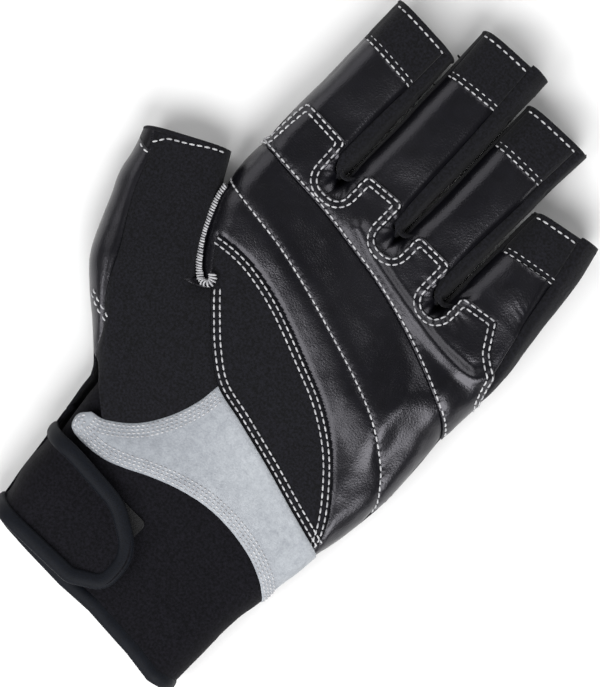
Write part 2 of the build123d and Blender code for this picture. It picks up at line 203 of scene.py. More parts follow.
# ---------------------------------------------------------------- silhouettes, inside on the left
RIGHT_SIDE = through([
    (47.2, -114), (47, -104), (46.5, -90), (46.2, -82), (46.7, -74), (47.8, -66), (48, -58), (49.5, -50),
    (50, -42), (51.5, -35), (53, -25), (53.5, -15), (53, -5), (52, 5), (51.6, 12), (52, 22), (53, 30),
    (52.6, 38), (51.4, 48), (50.5, 60), (50, 78)])
LEFT_SIDE = through([
    (-52.8, 78), (-52.5, 54), (-52, 37), (-51.5, 30), (-50.5, 20), (-49, 13), (-47, 8), (-44, 2), (-40, -4),
    tuple(CROTCH)])
THUMB_INNER = through([tuple(CROTCH)] + [tuple(from_crotch(s, t)) for s, t in
                      ((0.4, 2), (0.7, 12), (1.2, 26), (2.1, 41), (2.6, 54))])
THUMB_OUTER = through([
    (-88, 30), (-82, 14), (-79, 6), (-77, -2), (-74, -9), (-70, -18), (-66, -26), (-60, -32), (-50, -41),
    (-41.5, -48.6), (-38.8, -52.5), (-38.4, -57), (-36.8, -68), (-35.3, -77), (-33.8, -88), (-32.6, -95),
    (-31.8, -102), (-31, -114)])

# name: left side, right side, leather's right edge, band seam, tip of the leather, tip of the gusset
FINGERS = {
    "index": (
        [(-52.3, 26), (-52.5, 50), (-53, 80), (-53.5, 97), (-54, 112)],
        [(-26.7, 26), (-26.9, 50), (-27.5, 80), (-28.0, 96), (-28.4, 112)],
        [(-32.2, 26), (-32, 60), (-31.4, 97), (-31, 112)],
        [(-60, 81.4), (-52, 80.9), (-31.4, 79.5), (-22, 79)],
        [(-60, 97.3), (-53.5, 97), (-31, 96.1), (-20, 95.8)], 0.0),
    "middle": (
        [(-26.3, 26), (-26.3, 48), (-26.6, 70), (-28.2, 109), (-28.6, 124)],
        [(-1.9, 26), (-1.8, 48), (-2.0, 75), (-2.6, 100), (-3.1, 112), (-3.5, 124)],
        [(-5.0, 26), (-5.6, 50), (-7, 75), (-8.2, 92), (-9.8, 110), (-11, 124)],
        [(-34, 90.2), (-25.5, 90.9), (-8.4, 92.8), (2, 93.6)],
        [(-36, 108.7), (-28.5, 109.1), (-9.8, 110.2), (4, 110.8)], 1.2),
    "ring": (
        [(-1.4, 26), (-1.4, 50), (-1.5, 75), (-2.1, 102), (-2.5, 116)],
        [(22, 26), (21.9, 50), (21.6, 75), (22, 103.5), (22.3, 116)],
        [(16.6, 26), (17, 48), (18.2, 75), (18.7, 103), (19, 116)],
        [(-8, 85.8), (0.5, 85.9), (18.6, 86.3), (28, 86.4)],
        [(-8, 102.2), (-2.2, 102.4), (18.6, 103.3), (30, 103.8)], 0.0),
    "little": (
        [(22.4, 22), (22.4, 50), (22.5, 70), (22.6, 81), (22.8, 96)],
        [(52, 5), (51.6, 12), (52, 22), (53, 30), (52.6, 38), (51.2, 47), (49.7, 60), (47.6, 75), (45, 85.5),
         (42.3, 98)],
        [(50, 30), (49, 36), (47, 43), (44.2, 55), (41.6, 68), (38.2, 83.5), (35, 98)],
        [(14, 62.2), (23, 64.2), (42, 67.6), (54, 69.8)],
        [(14, 78.8), (22.5, 80.5), (38.2, 83.6), (52, 86.6)], 1.0),
}

# ---------------------------------------------------------------- seams on the palm
LINE_1 = [(-58, 21), (-40, 18.5), (-25, 16.5), (-10, 13), (5, 8.7), (20, 4), (32, -1), (42, -7.5),
          (50, -14.5), (59, -24)]
LINE_2 = [(-59, 36.4), (-40, 35), (-25, 34), (-10, 32), (5, 29.4), (20, 25.5), (35, 20), (50, 13), (60, 8)]
INSERT_TOP = [(-41.5, 5), (-34, 6), (-25, 5.6), (-12, 2.6), (5, -3.8), (18, -9.4), (30, -17.5), (40, -28),
              (46, -36.5), (49, -42)]
INSERT_END = [(-31.5, -7.4), (-37.5, 0), (-41.5, 5)]
HEEL_SEAM = [(-31.5, -7.4), (-26, -13), (-18, -20.5), (-8.5, -27), (4, -30), (20, -34), (34, -38), (49, -42)]
SEAM_END = [(49, -42), (53, -43.5), (60, -46)]
PATCH_INNER = [(-8.5, -27), (-9.5, -35), (-12.6, -44), (-18, -52.5), (-25.5, -58.6), (-30.5, -60)]
PATCH_LOWER = [(-30.5, -60), (-33, -63.6), (-31.5, -67.6), (-26, -68.6), (-18, -67.7), (-11, -65),
               (-4, -61.5), (5, -58), (15, -55.7), (25, -55.5), (35, -57.2), (42, -60), (47, -63), (59, -69)]
ZIGZAG = [(-59, 36.2), (-52.2, 38), (-50.3, 53.6), (-33.8, 52.9), (-33, 37.5), (-21, 37.5), (-21, 50.8),
          (-8, 52), (-8, 36.8), (3.2, 36.8), (3.2, 48.8), (15.6, 48.9), (15.6, 33.3), (26, 33.3),
          (26, 45), (37.6, 47), (43, 38.6), (49, 34.2), (53, 26), (59, 23)]
ZIGZAG_TURNS = [1.2, 1.2, 1.2, 5, 5, 1.2, 1.2, 5, 5, 1.2, 1.2, 5, 5, 1.2, 1.2, 4, 4, 2]
PANEL_MARGIN = 0.7  # from the outer row of stitches to the panel's cut edge
ROW_SPACING = 1.8
CROTCHES = [(-26.7, 44.6), (-1.7, 44.8), (22.1, 38.4)]

line_1, line_2 = through(LINE_1), through(LINE_2)
insert_top, insert_end = through(INSERT_TOP), through(INSERT_END)
heel_seam, seam_end = through(HEEL_SEAM), through(SEAM_END)
patch_inner, patch_lower = through(PATCH_INNER, 0.8), through(PATCH_LOWER, 0.8)
panel_edge = rounded(ZIGZAG, ZIGZAG_TURNS, PANEL_MARGIN)
tab_rows = [rounded(ZIGZAG, ZIGZAG_TURNS, -row) for row in (0, ROW_SPACING)]
side_leather_edge = through([tuple(from_crotch(23.5, 52)), (-74.3, 9), (-68, -5), (-60, -18), (-54, -30),
                             (-47, -40), (-44, -50)])


def chain(*lines):
    """An outline from lines laid end to end."""
    return np.vstack(lines)


def closed(line):
    """The line with its first point again at its end."""
    return np.vstack([line, line[:1]])


# ---------------------------------------------------------------- skins
class Skin:
    """A flattened tube of the glove, wrapped from flat sheets.

    A flat point at an inset d from the silhouette lies, along the surface, d + (pi/2 - 1) R from the
    side seam, R being the rim. That length divided by R is its angle round a quarter of an ellipse,
    R wide and half the tube's height high; past the quarter the surface runs level.
    """

    def __init__(self, edges, top, low=None, rim=RIM):
        self.edges = edges
        self.top = top
        self.low = low or (lambda q: np.zeros(len(q)))
        self.rim = rim

    def inset(self, q):
        """How far each point is inside the nearest silhouette line, and the way inwards from it."""
        found = np.full(len(q), 1e9)
        inward = np.zeros((len(q), 2))
        for line in self.edges:
            far, foot, along, left = nearest(q, line)
            total = lengths(line)[-1]
            gap = q - foot
            side = np.where((gap * left).sum(1) < 0, -1.0, 1.0)
            side[(along < 1e-6) | (along > total - 1e-6)] = 1.0
            signed = far * side
            best = far < np.abs(found)
            way = np.where(far[:, None] > 0.02, gap / np.maximum(far, 1e-9)[:, None] * side[:, None], left)
            found[best], inward[best] = signed[best], way[best]
        return found, inward

    def place(self, q, side=1, lift=0.0):
        """Points on the glove for flat points, and the way out of its surface there."""
        inset, inward = self.inset(q)
        top, low = self.top(q), self.low(q)
        turn = np.clip(inset + (QUARTER - 1) * self.rim, 0, QUARTER * self.rim) / self.rim
        shift = np.where(inset < self.rim, self.rim * (1 - np.cos(turn)) - inset, 0)
        flat = q + inward * shift[:, None]
        half = (top - low) / 2
        z = (top + low) / 2 + side * half * np.sin(turn)
        out = np.column_stack([-inward * (half * np.cos(turn))[:, None], side * self.rim * np.sin(turn)])
        out /= np.linalg.norm(out, axis=1)[:, None]
        return np.column_stack([flat, z]) + out * np.broadcast_to(lift, len(q))[:, None], out


def wrist_step(q):
    """0 over the palm and 1 over the cuff, a smooth step across the wrist."""
    return smooth(-q[:, 1], -WRIST_Y - 5, -WRIST_Y + 5)


def hand_top(q):
    """Level over the palm, a little lower over the cuff."""
    return PALM_TOP - CUFF_DIP * wrist_step(q)


def hand_low(q):
    """On the floor under the palm, a little higher under the cuff."""
    return CUFF_DIP * wrist_step(q)


THUMB_LONG = 41.0


def thumb_top(q):
    """Falls evenly from the crotch to the tip."""
    return PALM_TOP - (PALM_TOP - TIP_TOP) * np.clip((q - CROTCH) @ ALONG_THUMB / THUMB_LONG, 0, 1.3)


def finger_top(hinge, tip):
    """Falls evenly from a finger's hinge to its tip."""
    return lambda q: PALM_TOP - (PALM_TOP - TIP_TOP) * np.clip((q[:, 1] - hinge) / (tip - hinge), 0, 1.3)


palm_skin = Skin([RIGHT_SIDE, LEFT_SIDE], hand_top)
whole_skin = Skin([RIGHT_SIDE, LEFT_SIDE, THUMB_OUTER], hand_top, hand_low)
thumb_skin = Skin([THUMB_INNER, THUMB_OUTER], thumb_top)
wrist_skin = Skin([RIGHT_SIDE, THUMB_OUTER], hand_top, hand_low)


# ---------------------------------------------------------------- fingers' own lines
def x_at(points, y):
    """The x of an upright line at a height y, linear between its points."""
    return np.interp(y, *np.array(points, float)[:, ::-1].T)


def y_at(points, x):
    """The y of a crossways line at an x, linear between its points."""
    return np.interp(x, *np.array(points, float).T)


def column(points, ys, shift=0.0):
    """The points of an upright line at the given heights y."""
    return np.stack([x_at(points, ys) + shift, ys], axis=1)


def row(points, xs, shift=0.0):
    """The points of a crossways line at the given x."""
    return np.stack([xs, y_at(points, xs) + shift], axis=1)


FINGER_GAPS = [-26.5, -1.65, 22.2]
FINGER_RIM = 7.0
FINGER_TOP = {name: finger_top(HINGES[name + "_flex"]["pos_m"][1] / MM, lines[4][1][1])
              for name, lines in FINGERS.items()}
finger_skins = {name: Skin([through(lines[1]), through(lines[0][::-1])], FINGER_TOP[name], rim=FINGER_RIM)
                for name, lines in FINGERS.items()}


ROOT = (-7.5, 1.0)  # where the palm's skin turns into a finger's, measured from the crotch
TUCK = 4.0  # how far a finger's leather runs past the crotch line, under its neighbour


def root_step(y, crotch):
    """0 on the palm and 1 on the finger, a smooth step just before the crotch."""
    return smooth(y - crotch, *ROOT)


class RootSkin:
    """Where the fingers leave the palm: the palm's skin turns into each finger's along a smooth step.

    Left and right of a crotch the place is (1 - w) of the palm's plus w of the finger's, and w goes
    from 0 to 1 over the last few millimetres before the crotch, so a valley opens between fingers.
    """

    rim = RIM

    def share(self, q):
        """How much of each point's place is the finger's."""
        return root_step(q[:, 1], y_at(CROTCHES, q[:, 0]))

    def inset(self, q):
        """The palm's own inset."""
        return palm_skin.inset(q)

    def place(self, q, side=1, lift=0.0):
        """Points on the palm, moved towards their finger's skin by their share."""
        spot, out = palm_skin.place(q, side, lift)
        lift = np.broadcast_to(lift, len(q))
        which = np.digitize(q[:, 0], FINGER_GAPS)
        share = self.share(q)
        for i, skin in enumerate(finger_skins.values()):
            mine = (which == i) & (share > 0)
            if mine.any():
                there, way = skin.place(q[mine], side, lift[mine])
                w = share[mine, None]
                spot[mine] += w * (there - spot[mine])
                out[mine] += w * (way - out[mine])
        return spot, out / np.linalg.norm(out, axis=1)[:, None]


class FingerSkin:
    """One finger's skin that turns into the palm's towards its root, by the same step."""

    def __init__(self, finger_skin):
        self.finger = finger_skin
        self.rim = finger_skin.rim

    def inset(self, q):
        """The finger's own inset."""
        return self.finger.inset(q)

    def place(self, q, side=1, lift=0.0):
        """(1 - w) of the palm's place plus w of the finger's, w being the share."""
        spot, out = palm_skin.place(q, side, lift)
        there, way = self.finger.place(q, side, lift)
        w = root_skin.share(q)[:, None]
        out = out + w * (way - out)
        return spot + w * (there - spot), out / np.linalg.norm(out, axis=1)[:, None]


root_skin = RootSkin()


# ---------------------------------------------------------------- relief: how the sheets rise and sink
PITCH = 2.3  # from one needle hole to the next
INSERT_SEAM = beside(insert_top, 0.9)
insert_rows = [insert_top, beside(insert_top, -1.8)]
line_2_row = beside(line_2, 0.7)
heel_rows = [beside(heel_seam, 1.2), beside(heel_seam, 3.0)]
FOLD = through([(-12, 37.5), (-2, 34.6), (8, 32.6), (20, 30.6), (32, 29.0), (44, 29.6), (47.6, 33.5)])
FOLD_VALLEY = through([(-6, 37.6), (4, 35.6), (16, 33.4), (30, 31.6), (42, 32.2)])


def waves(count, longest, shortest, seed):
    """Directions, lengths and phases of some plane waves."""
    rng = np.random.default_rng(seed)
    angle, phase = rng.uniform(0, 2 * math.pi, (2, count))
    ways = np.stack([np.cos(angle), np.sin(angle)]) * 2 * math.pi / rng.uniform(shortest, longest, count)
    return ways, phase


LONG_WAVES = waves(9, 46, 20, 3)
SHORT_WAVES = waves(12, 12, 5, 5)


def ripple(q, long, short=0.0):
    """Gentle unevenness: the mean of some plane waves' sines, long waves and short ones."""
    z = np.zeros(len(q))
    for height, (ways, phase) in ((long, LONG_WAVES), (short, SHORT_WAVES)):
        if height:
            z += height * np.sin(q @ ways + phase).mean(1) * math.sqrt(len(phase))
    return z


def sink(q, line, depth, width):
    """A channel along a line: its depth times a bell of the distance over its width."""
    return -depth * bell(nearest(q, line)[0], width)


def stitched(q, line, depth=0.3, width=0.8):
    """A channel that is deepest at each needle hole: its depth swings as a cosine along the line."""
    far, _, along, _ = nearest(q, line)
    return -depth * bell(far, width) * (0.6 + 0.4 * np.cos(2 * math.pi * along / PITCH))


# line, depth, width: the seams sink, the fold stands up between them
PALM_CHANNELS = [(line_1, 0.35, 2.2), (line_2, 0.35, 2.2), (INSERT_SEAM, 0.45, 1.0), (heel_seam, 0.55, 1.0),
                 (FOLD, -1.5, 2.3), (FOLD_VALLEY, 0.4, 1.5)]
CROWN, CROWN_WIDE = 2.8, 10.0  # the palm's swell along its middle seam
SWELLS = [((24, -3), 1.1, 12), ((-12, 40), 0.8, 8)]  # place, height, width
PINCH, PINCH_TURN = (31, 10), 0.58  # a soft ridge that crosses the middle strip, and its lean
SLOPE, SLOPE_SPOT, SLOPE_WAY = 0.32, np.array([40.0, 6.0]), np.array([0.8, -0.6])  # the slope beyond it


def palm_relief(q):
    """The palm: seams sink, sheets between them stand proud, a fold crosses under the knuckles.

    The crown along the middle seam fades at both ends. Beyond the pinch the leather falls away as
    x times the bell of x, x being measured the way it falls.
    """
    x, y = q.T
    z = ripple(q, 0.3, 0.05)
    for line in [line_1, line_2_row] + insert_rows + heel_rows:
        z += stitched(q, line)
    for line, depth, width in PALM_CHANNELS:
        z += sink(q, line, depth, width)
    ends = (0.25 + 0.75 * smooth(x, -45, -12)) * (1 - smooth(x, 34, 47))
    z -= sink(q, line_1, CROWN, CROWN_WIDE) * ends
    across = x - PINCH[0] + PINCH_TURN * (y - PINCH[1])
    z += 2.2 * bell(across, np.where(across < 0, 7, 12)) * bell(y - 9, 12)
    fall = (q - SLOPE_SPOT) @ SLOPE_WAY
    z -= SLOPE * fall * bell(fall, 11) * smooth(across, -3, 5) * (1 - smooth(across, 16, 26))
    for (spot_x, spot_y), height, width in SWELLS:
        z += height * bell(np.hypot(x - spot_x, (y - spot_y) * 1.5), width)
    return z


def crotch_relief(q):
    """Leather gathered at the crotches: fine pleats that fan out from each one, fading with distance."""
    z = np.zeros(len(q))
    for i, (x, y) in enumerate(CROTCHES):
        gap = q - np.array([x, y + 3.0])
        far, angle = np.hypot(*gap.T), np.arctan2(gap[:, 0], -gap[:, 1])
        z += 0.28 * np.sin(angle * (9 + i) + i) * bell(far - 6.5, 3.2) * smooth(far, 1.5, 5)
    return z


def knuckle_relief(q):
    """The palm's relief, fading where the fingers begin, with the crotches' pleats."""
    return palm_relief(q) * (1 - root_skin.share(q) * 0.6) + crotch_relief(q)


# ---------------------------------------------------------------- materials
def linear(code):
    """A linear colour from an sRGB hex code."""
    c = np.array([int(code[i:i + 2], 16) for i in (1, 3, 5)]) / 255
    return (*np.where(c <= 0.04045, c / 12.92, ((c + 0.055) / 1.055) ** 2.4), 1.0)


def per(size):
    """The scale that gives a pattern cells of a size in millimetres."""
    return 1 / (size * MM)


def add(tree, kind, sockets=None, stops=(), **settings):
    """Adds a node, sets its own settings and its ramp's (place, hex) stops, and sets or links its inputs."""
    made = tree.nodes.new("ShaderNode" + kind)
    for key, value in settings.items():
        setattr(made, key, value)
    for i, (where, code) in enumerate(stops):
        points = made.color_ramp.elements
        point = points[i] if i < len(points) else points.new(where)
        point.position = where
        point.color = linear(code)
    for key, value in (sockets or {}).items():
        if isinstance(value, bpy.types.NodeSocket):
            tree.links.new(value, made.inputs[key])
        else:
            made.inputs[key].default_value = value
    return made


def material(name, shader):
    """A node material with one Principled shader.

    shader(tree, place) gives the colour as a factor and its (place, hex) stops, the bumps as (height,
    strength, depth in millimetres), each laid over the one before, and the shader's other sockets.
    """
    made = bpy.data.materials.new(name)
    made.use_nodes = True
    tree = made.node_tree
    tree.nodes.clear()
    colour, bumps, sockets = shader(tree, add(tree, "TexCoord").outputs["Object"])
    for height, strength, depth in bumps:
        under = {"Normal": sockets["Normal"]} if "Normal" in sockets else {}
        bump = add(tree, "Bump", {"Height": height, "Strength": strength, "Distance": depth * MM} | under)
        sockets["Normal"] = bump.outputs["Normal"]
    if colour:
        factor, stops = colour
        sockets["Base Color"] = add(tree, "ValToRGB", {"Fac": factor}, stops=stops).outputs["Color"]
    surface = add(tree, "BsdfPrincipled", sockets)
    add(tree, "OutputMaterial", {"Surface": surface.outputs["BSDF"]})
    return made


def leather(tree, place):
    """Full-grain goat leather, dyed black, drum-finished: pebbled cells under a millimetre, soft sheen."""
    grain = add(tree, "TexVoronoi", {"Vector": place, "Scale": per(0.95), "Randomness": 1.0},
                feature="DISTANCE_TO_EDGE").outputs["Distance"]
    pores = add(tree, "TexNoise", {"Vector": place, "Scale": per(0.45), "Detail": 4.0}).outputs["Fac"]
    creases = add(tree, "TexNoise", {"Vector": place, "Scale": per(5.5), "Detail": 6.0, "Roughness": 0.62,
                                     "Distortion": 0.5}).outputs["Fac"]
    rub = add(tree, "TexNoise", {"Vector": place, "Scale": per(26), "Detail": 3.0}).outputs["Fac"]
    rough = add(tree, "MapRange", {"Value": rub, "From Min": 0.3, "From Max": 0.7,
                                   "To Min": 0.27, "To Max": 0.36}).outputs["Result"]
    return ((creases, [(0.3, "#060609"), (0.7, "#0c0c11")]),
            [(grain, 0.3, 0.22), (pores, 0.2, 0.1), (creases, 0.14, 0.7)],
            {"Roughness": rough, "IOR": 1.5, "Specular IOR Level": 0.55,
             "Specular Tint": (0.94, 0.92, 1.0, 1.0)})


def stretch_fabric(tree, place):
    """Brushed nylon stretch knit: a matte blue-black nap over ribs of fine loops, drawn 0.9 mm apart so
    that they show."""
    loops = add(tree, "TexWave", {"Vector": place, "Scale": per(0.9) / 20, "Distortion": 1.2, "Detail": 1.0,
                                  "Detail Scale": 2.0}, bands_direction="DIAGONAL").outputs["Fac"]
    nap, mottle = (add(tree, "TexNoise", {"Vector": place, "Scale": per(size), "Detail": 5.0,
                                          "Roughness": rough}).outputs["Fac"]
                   for size, rough in ((0.6, 0.7), (0.75, 0.6)))
    return ((mottle, [(0.38, "#08080a"), (0.64, "#18181e")]),
            [(loops, 0.12, 0.2), (nap, 0.5, 0.3)],
            {"Roughness": 0.88, "Sheen Weight": 0.06, "Sheen Roughness": 0.5, "Specular IOR Level": 0.16})


def neoprene(tree, place):
    """Foam rubber faced with jersey: flat matte black, the jersey's rows just visible."""
    rows = add(tree, "TexWave", {"Vector": place, "Scale": per(1.1) / 20, "Distortion": 0.6, "Detail": 1.0},
               bands_direction="Y").outputs["Fac"]
    nap, mottle = (add(tree, "TexNoise", {"Vector": place, "Scale": per(0.8), "Detail": detail,
                                          "Roughness": rough}).outputs["Fac"]
                   for detail, rough in ((4.0, 0.7), (5.0, 0.6)))
    return ((mottle, [(0.38, "#050508"), (0.64, "#131218")]),
            [(rows, 0.15, 0.2), (nap, 0.35, 0.3)],
            {"Roughness": 0.88, "Sheen Weight": 0.03, "Sheen Roughness": 0.5, "Specular IOR Level": 0.12})


def suede(tree, place):
    """Napped microfibre suede, dyed cool grey: short nap in patches, fibres that scatter light softly."""
    nap = add(tree, "TexNoise", {"Vector": place, "Scale": per(0.7), "Detail": 6.0,
                                 "Roughness": 0.75}).outputs["Fac"]
    strokes = add(tree, "TexNoise", {"Vector": place, "Scale": per(2.6), "Detail": 5.0,
                                     "Distortion": 0.4}).outputs["Fac"]
    broad = add(tree, "TexNoise", {"Vector": place, "Scale": per(55), "Detail": 1.0}).outputs["Fac"]
    fine = add(tree, "Mix", {"Factor": 0.6, "A": strokes, "B": nap}, data_type="FLOAT").outputs["Result"]
    both = add(tree, "Mix", {"Factor": 0.4, "A": fine, "B": broad}, data_type="FLOAT").outputs["Result"]
    return ((both, [(0.36, "#80848a"), (0.5, "#999da3"), (0.64, "#afb3b8")]),
            [(nap, 0.6, 0.4)],
            {"Roughness": 0.95, "Sheen Weight": 0.25, "Sheen Roughness": 0.4, "Specular IOR Level": 0.15})


def binding(tree, place):
    """Woven nylon edge tape: navy-black, low satin gloss, fine ribs across it."""
    ribs = add(tree, "TexWave", {"Vector": place, "Scale": per(0.7) / 20, "Distortion": 0.8, "Detail": 1.0},
               bands_direction="DIAGONAL").outputs["Fac"]
    nap = add(tree, "TexNoise", {"Vector": place, "Scale": per(0.5), "Detail": 3.0}).outputs["Fac"]
    return ((nap, [(0.3, "#05070c"), (0.7, "#0b0f18")]),
            [(ribs, 0.25, 0.15), (nap, 0.2, 0.1)],
            {"Roughness": 0.6, "Specular IOR Level": 0.14, "Sheen Weight": 0.02})


def hook_and_loop(tree, place):
    """Nylon hook-and-loop tape: a dense black pile of tiny loops, rough at half a millimetre."""
    pile = add(tree, "TexVoronoi", {"Vector": place, "Scale": per(0.6)}, feature="F1").outputs["Distance"]
    fuzz = add(tree, "TexNoise", {"Vector": place, "Scale": per(0.3), "Detail": 3.0}).outputs["Fac"]
    return ((pile, [(0.0, "#141417"), (0.7, "#08080a")]),
            [(pile, 0.9, 0.5), (fuzz, 0.5, 0.2)],
            {"Roughness": 0.9, "Sheen Weight": 0.1})


def thread(tree, place):
    """Bonded polyester sewing thread, undyed: pale grey, twisted plies, a little soiled here and there."""
    plies = add(tree, "TexWave", {"Vector": place, "Scale": per(0.35) / 20, "Distortion": 0.3},
                bands_direction="DIAGONAL").outputs["Fac"]
    soil = add(tree, "TexNoise", {"Vector": place, "Scale": per(3.0), "Detail": 3.0}).outputs["Fac"]
    return ((soil, [(0.3, "#98989c"), (0.7, "#c9c9cb")]),
            [(plies, 0.4, 0.1)],
            {"Roughness": 0.7, "Specular IOR Level": 0.3, "Sheen Weight": 0.1})


def paper(_tree, _place):
    """White seamless paper, matt."""
    return None, [], {"Base Color": linear("#f7f7f7"), "Roughness": 0.9}


FINISHES = {
    "black_leather": material("black_goat_leather", leather),
    "stretch_fabric": material("brushed_stretch_knit", stretch_fabric),
    "neoprene": material("jersey_faced_neoprene", neoprene),
    "grey_suede": material("grey_microfibre_suede", suede),
    "binding_tape": material("woven_binding_tape", binding),
    "hook_and_loop": material("hook_and_loop_pile", hook_and_loop),
    "thread": material("polyester_thread", thread),
}


# ---------------------------------------------------------------- making pieces
def piece(name, points, faces, finish):
    """A mesh object from points in millimetres and faces as index rows; -1 ends a triangle early."""
    quads = faces[faces[:, 3] >= 0]
    triangles = faces[faces[:, 3] < 0][:, :3]
    mesh = bpy.data.meshes.new(name)
    mesh.from_pydata(points * MM, [], quads.tolist() + triangles.tolist())
    mesh.shade_smooth()
    made = bpy.data.objects.new(name, mesh)
    bpy.context.scene.collection.objects.link(made)
    mesh.materials.append(FINISHES[finish])
    return made


def thicken(made, thick):
    """Gives a sheet its thickness, inwards from its face."""
    wall = made.modifiers.new("thickness", "SOLIDIFY")
    wall.thickness = thick * MM
    wall.offset = -1
    wall.use_even_offset = False
    return made


def hold(made, body):
    """Fixes a piece to a body by name; given (a, b, start, end) for two bodies, it only bakes the piece in
    place.
    """
    if isinstance(body, str):
        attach(made, body)
    else:
        first, second, start, end = body
        [v * MM for v in start]
        [v * MM for v in end]
        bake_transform(made)
    return made


def sheet_mesh(skin, outline, side=1, lift=0.0, relief=None, step=0.5):
    """Points and faces of a flat-cut sheet wrapped by a skin.

    A square grid covers the outline. Grid points within about half a step of it, or of the skin's
    side seam, are moved on to it; those outside are dropped. Each point is placed by the skin at
    lift + relief. Cells that keep four corners are quads, those that keep three are triangles.
    """
    loop = closed(outline)
    low = np.floor(outline.min(0) / step) - 1
    count = (np.ceil(outline.max(0) / step) + 2 - low).astype(int)
    x, y = np.meshgrid(*(np.arange(c) + start for c, start in zip(count, low)), indexing="ij")
    q = np.stack([x.ravel(), y.ravel()], axis=1) * step
    far, foot, _, _ = nearest(q, loop)
    snap = far < 0.55 * step
    q[snap] = foot[snap]
    good = snap | inside(q, outline)
    inset, inward = np.full(len(q), 1e9), np.zeros((len(q), 2))
    inset[good], inward[good] = skin.inset(q[good])
    room = inset + (QUARTER - 1) * skin.rim
    snap = good & (np.abs(room) < 0.55 * step)
    q[snap] -= inward[snap] * room[snap, None]
    good &= room > -0.56 * step
    index = np.arange(len(q)).reshape(count)
    cells = np.stack([index[:-1, :-1], index[1:, :-1], index[1:, 1:], index[:-1, 1:]], axis=-1).reshape(-1, 4)
    kept = good[cells].sum(1)
    quads = cells[kept == 4]
    three = cells[kept == 3]
    corner = (~good[three]).argmax(1)
    triangles = three[np.arange(len(three))[:, None], (corner[:, None] + np.arange(1, 4)) % 4]
    middle = np.concatenate([q[quads].mean(1), q[triangles].mean(1)])
    faces = np.vstack([quads, np.column_stack([triangles, np.full(len(triangles), -1)])])
    faces = faces[inside(middle, outline)]
    a, b, c = (q[faces[:, i]] for i in range(3))
    area = (b[:, 0] - a[:, 0]) * (c[:, 1] - a[:, 1]) - (b[:, 1] - a[:, 1]) * (c[:, 0] - a[:, 0])
    d = q[np.where(faces[:, 3] >= 0, faces[:, 3], faces[:, 2])]
    area += (c[:, 0] - a[:, 0]) * (d[:, 1] - a[:, 1]) - (c[:, 1] - a[:, 1]) * (d[:, 0] - a[:, 0])
    faces = faces[area > 1e-4 * step]
    used, faces_flat = np.unique(faces, return_inverse=True)
    faces = faces_flat.reshape(faces.shape)
    if used[0] == -1:
        used = used[1:]
        faces = faces - 1
    q = q[used]
    height = lift(q) if callable(lift) else np.full(len(q), float(lift))
    if relief is not None:
        height = height + relief(q)
    points, _ = skin.place(q, side, height)
    if side < 0:
        quad = faces[:, 3] >= 0
        faces = np.where(quad[:, None], faces[:, ::-1], faces[:, [2, 1, 0, 3]])
    return points, faces


def hem(name, skin, line, body):
    """The rolled hem round an opening: an oval carried over the face, and one over the back, that meet at
    the side seams."""
    line = trimmed(skin, line)
    halves = [strip_mesh(skin, line, oval(1.5, 1.9, 10, 0.75), side=side) for side in (1, -1)]
    hold(piece(name, *joined(halves), "stretch_fabric"), body)


def sheet(name, skin, outline, finish, body, side=1, lift=0.0, relief=None, step=0.5, thick=1.0):
    """A sheet of the glove as a piece with its thickness, held by its body, or baked in place when it lies
    between two.
    """
    points, faces = sheet_mesh(skin, outline, side, lift, relief, step)
    return hold(thicken(piece(name, points, faces, finish), thick), body)


def tube_faces(rings, around):
    """Faces of a tube of rings, closed at its two ends by rows of quads across them."""
    i = np.arange(rings - 1)[:, None] * around
    j = np.arange(around)[None, :]
    k = (j + 1) % around
    wall = np.stack([i + j, i + k, i + k + around, i + j + around], axis=-1).reshape(-1, 4)
    j = np.arange(around // 2 - 1)
    end = np.stack([j, around - 1 - j, around - 2 - j, j + 1], axis=1)
    return np.vstack([wall, end, (rings - 1) * around + end[:, ::-1]])


def strip_mesh(skin, line, profile, side=1, lift=0.0):
    """A closed profile carried along a flat line: profile points are (left of the line, out of the skin)."""
    q = line[:, None] + normals(line)[1][:, None] * profile[None, :, :1]
    up = np.broadcast_to(profile[None, :, 1], q.shape[:2]).ravel()
    flat = q.reshape(-1, 2)
    points, _ = skin.place(flat, side, up + (lift(flat) if callable(lift) else lift))
    faces = tube_faces(len(line), len(profile))
    return points, faces[:, ::-1] if side > 0 else faces


def tubes(centre, out, radius):
    """Many short round tubes at once: six points round each ring, in the plane across its path.

    centre and out hold a row of rings for each tube, and radius one number for each ring. A ring's
    points are centre + radius (cos a times the way across + sin a times the way up).
    """
    way = np.gradient(centre, axis=1)
    way /= np.linalg.norm(way, axis=2)[..., None]
    across = np.cross(out, way)
    across /= np.linalg.norm(across, axis=2)[..., None]
    up = np.cross(way, across)
    angle = np.linspace(0, 2 * math.pi, 6, endpoint=False)[:, None]
    ring = np.cos(angle) * across[:, :, None] + np.sin(angle) * up[:, :, None]
    points = centre[:, :, None] + np.reshape(radius, (-1, 1, 1)) * ring
    count, rings = centre.shape[:2]
    faces = tube_faces(rings, 6)[None] + np.arange(count)[:, None, None] * rings * 6
    return points.reshape(-1, 3), faces.reshape(-1, 4)


def oval(wide, high_up, count=16, sunk=0.0):
    """An oval profile, wide across the line and high out of the skin."""
    angle = np.linspace(0, 2 * math.pi, count, endpoint=False)
    return np.stack([wide / 2 * np.cos(angle), high_up / 2 * np.sin(angle) - sunk], axis=1)


def joined(parts):
    """Several (points, faces) as one."""
    start = np.cumsum([0] + [len(p) for p, _ in parts[:-1]])
    faces = [np.where(f >= 0, f + s, -1) for (_, f), s in zip(parts, start)]
    return np.vstack([p for p, _ in parts]), np.vstack(faces)


def trimmed(skin, line):
    """The part of a line on the near side of the skin's side seams."""
    return line[skin.inset(line)[0] > -(QUARTER - 1) * skin.rim + 0.02]


